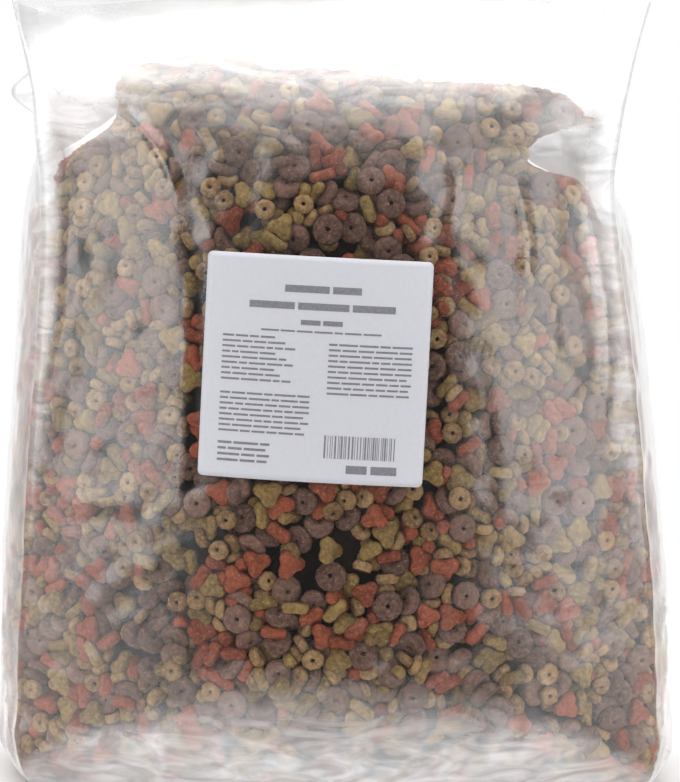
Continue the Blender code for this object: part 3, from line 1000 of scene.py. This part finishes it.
def make_print():
    """Grey bars in place of words and a row of stripes, laid on the paper."""
    draw = np.random.default_rng(SEED + 2)
    bars = []

    def words(left, right, top, height, gap, average, centred=False):
        runs = []
        x = left
        while x < right - average * 0.4:
            width = min(draw.uniform(0.5, 1.5) * average, right - x)
            runs.append((x, x + width))
            x += width + gap
        shift = (right - runs[-1][1]) / 2 if centred else 0.0
        bars.extend((a + shift, top - height, b + shift, top) for a, b in runs)

    words(-0.020, 0.024, 0.0400, 0.0034, 0.0016, 0.016, True)
    words(-0.033, 0.037, 0.0318, 0.0034, 0.0016, 0.018, True)
    words(-0.008, 0.012, 0.0236, 0.0024, 0.0012, 0.009, True)
    words(-0.028, 0.032, 0.0185, 0.0009, 0.0009, 0.007, True)
    for line in range(9):
        words(-0.045, -0.018 + 0.004 * (line % 3), 0.0150 - 0.0026 * line, 0.0010, 0.0008, 0.006)
    for line in range(10):
        words(0.006, 0.046, 0.0130 - 0.0026 * line, 0.0010, 0.0008, 0.007)
    for line in range(8):
        words(-0.045, -0.002, -0.0125 - 0.0026 * line, 0.0010, 0.0008, 0.007)
    for line in range(4):
        words(-0.045, -0.020, -0.0365 - 0.0028 * line, 0.0012, 0.0009, 0.008)
    x = 0.006
    while x < 0.040:
        width = draw.choice([0.0003, 0.0005, 0.0008])
        bars.append((x, -0.0420, x + width, -0.0310))
        x += width + draw.choice([0.0004, 0.0006, 0.0009])
    words(0.017, 0.043, -0.0450, 0.0040, 0.0018, 0.011)
    points = []
    quads = []
    for left, low, right, high in bars:
        steps = max(1, math.ceil((right - left) / 0.004))
        rises = max(1, math.ceil((high - low) / 0.004))
        start = len(points)
        for row in range(rises + 1):
            for column in range(steps + 1):
                points.append((left + (right - left) * column / steps,
                               low + (high - low) * row / rises, 0.0))
        for row in range(rises):
            for column in range(steps):
                corner = start + row * (steps + 1) + column
                quads.append((corner, corner + 1, corner + steps + 2, corner + steps + 1))
    laid = on_label(np.array(points), LABEL_PROUD + 0.00022)
    made = quad_object("label_print", laid, np.array(quads), ink_material(), smooth=False)
    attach(made, "root")


def make_stage():
    """A pale floor. It ends close round the bag, so that no view has anything before it."""
    points = [(-1.2, -0.30, 0.0), (1.2, -0.30, 0.0), (1.2, 0.70, 0.0), (-1.2, 0.70, 0.0)]
    finish, _, _, shader = new_material("pale_paper")
    shader.inputs["Base Color"].default_value = (0.93, 0.93, 0.93, 1)
    shader.inputs["Roughness"].default_value = 0.9
    shader.inputs["Specular IOR Level"].default_value = 0.1
    quad_object("pale_floor", points, np.array([(0, 1, 2, 3)]), finish)


def area_light(name, spot, target, width, height, power):
    light = bpy.data.lights.new(name, "AREA")
    light.shape = "RECTANGLE"
    light.size = width
    light.size_y = height
    light.energy = power
    made = bpy.data.objects.new(name, light)
    made.location = spot
    made.rotation_euler = (Vector(target) - Vector(spot)).to_track_quat("-Z", "Y").to_euler()
    bpy.context.scene.collection.objects.link(made)


def make_lights():
    area_light("soft_left", (-1.5, -1.05, 0.75), (0, 0, 0.2), 1.3, 1.9, 20)
    area_light("soft_right", (1.5, -1.05, 0.75), (0, 0, 0.2), 1.3, 1.9, 20)
    area_light("soft_top", (0, -0.1, 1.9), (0, 0.05, 0.2), 2.2, 1.8, 40)
    world = bpy.data.worlds.new("studio")
    bpy.context.scene.world = world
    world.use_nodes = True
    nodes = world.node_tree.nodes
    links = world.node_tree.links
    place = nodes.new("ShaderNodeTexCoord")
    toward = nodes.new("ShaderNodeVectorMath")
    toward.operation = "DOT_PRODUCT"
    toward.inputs[1].default_value = (0.0, -1.0, 0.0)
    links.new(place.outputs["Generated"], toward.inputs[0])
    dim = nodes.new("ShaderNodeMapRange")
    dim.inputs["From Min"].default_value = 0.60
    dim.inputs["From Max"].default_value = 0.92
    dim.inputs["To Min"].default_value = 1.0
    dim.inputs["To Max"].default_value = 0.02
    links.new(toward.outputs["Value"], dim.inputs["Value"])
    back = nodes["Background"]
    back.inputs["Color"].default_value = (1, 1, 1, 1)
    seen = nodes.new("ShaderNodeLightPath")
    spread = nodes.new("ShaderNodeMapRange")
    spread.inputs["To Min"].default_value = 1.0
    spread.inputs["To Max"].default_value = WORLD_FILL
    links.new(seen.outputs["Is Diffuse Ray"], spread.inputs["Value"])
    shown = nodes.new("ShaderNodeMix")
    links.new(seen.outputs["Is Glossy Ray"], shown.inputs["Factor"])
    links.new(spread.outputs["Result"], shown.inputs["A"])
    links.new(dim.outputs["Result"], shown.inputs["B"])
    links.new(shown.outputs["Result"], back.inputs["Strength"])


def make_camera():
    camera = bpy.data.cameras.new("camera")
    camera.sensor_fit = "HORIZONTAL"
    camera.sensor_width = 36.0
    camera.lens = CAMERA_LENS
    made = bpy.data.objects.new("camera", camera)
    spot = Vector((0.0, -CAMERA_AWAY, CAMERA_Z))
    made.location = spot
    look = (Vector((0.0, 0.0, 0.198)) - spot).to_track_quat("-Z", "Y")
    made.rotation_euler = (look.to_matrix() @ Matrix.Rotation(CAMERA_ROLL, 3, "Z")).to_euler()
    bpy.context.scene.collection.objects.link(made)
    bpy.context.scene.camera = made
    bpy.context.scene.view_settings.view_transform = "Standard"


bpy.ops.object.select_all(action="DESELECT")
make_camera()
make_lights()
make_stage()
make_film()
make_label()
make_print()
make_food()
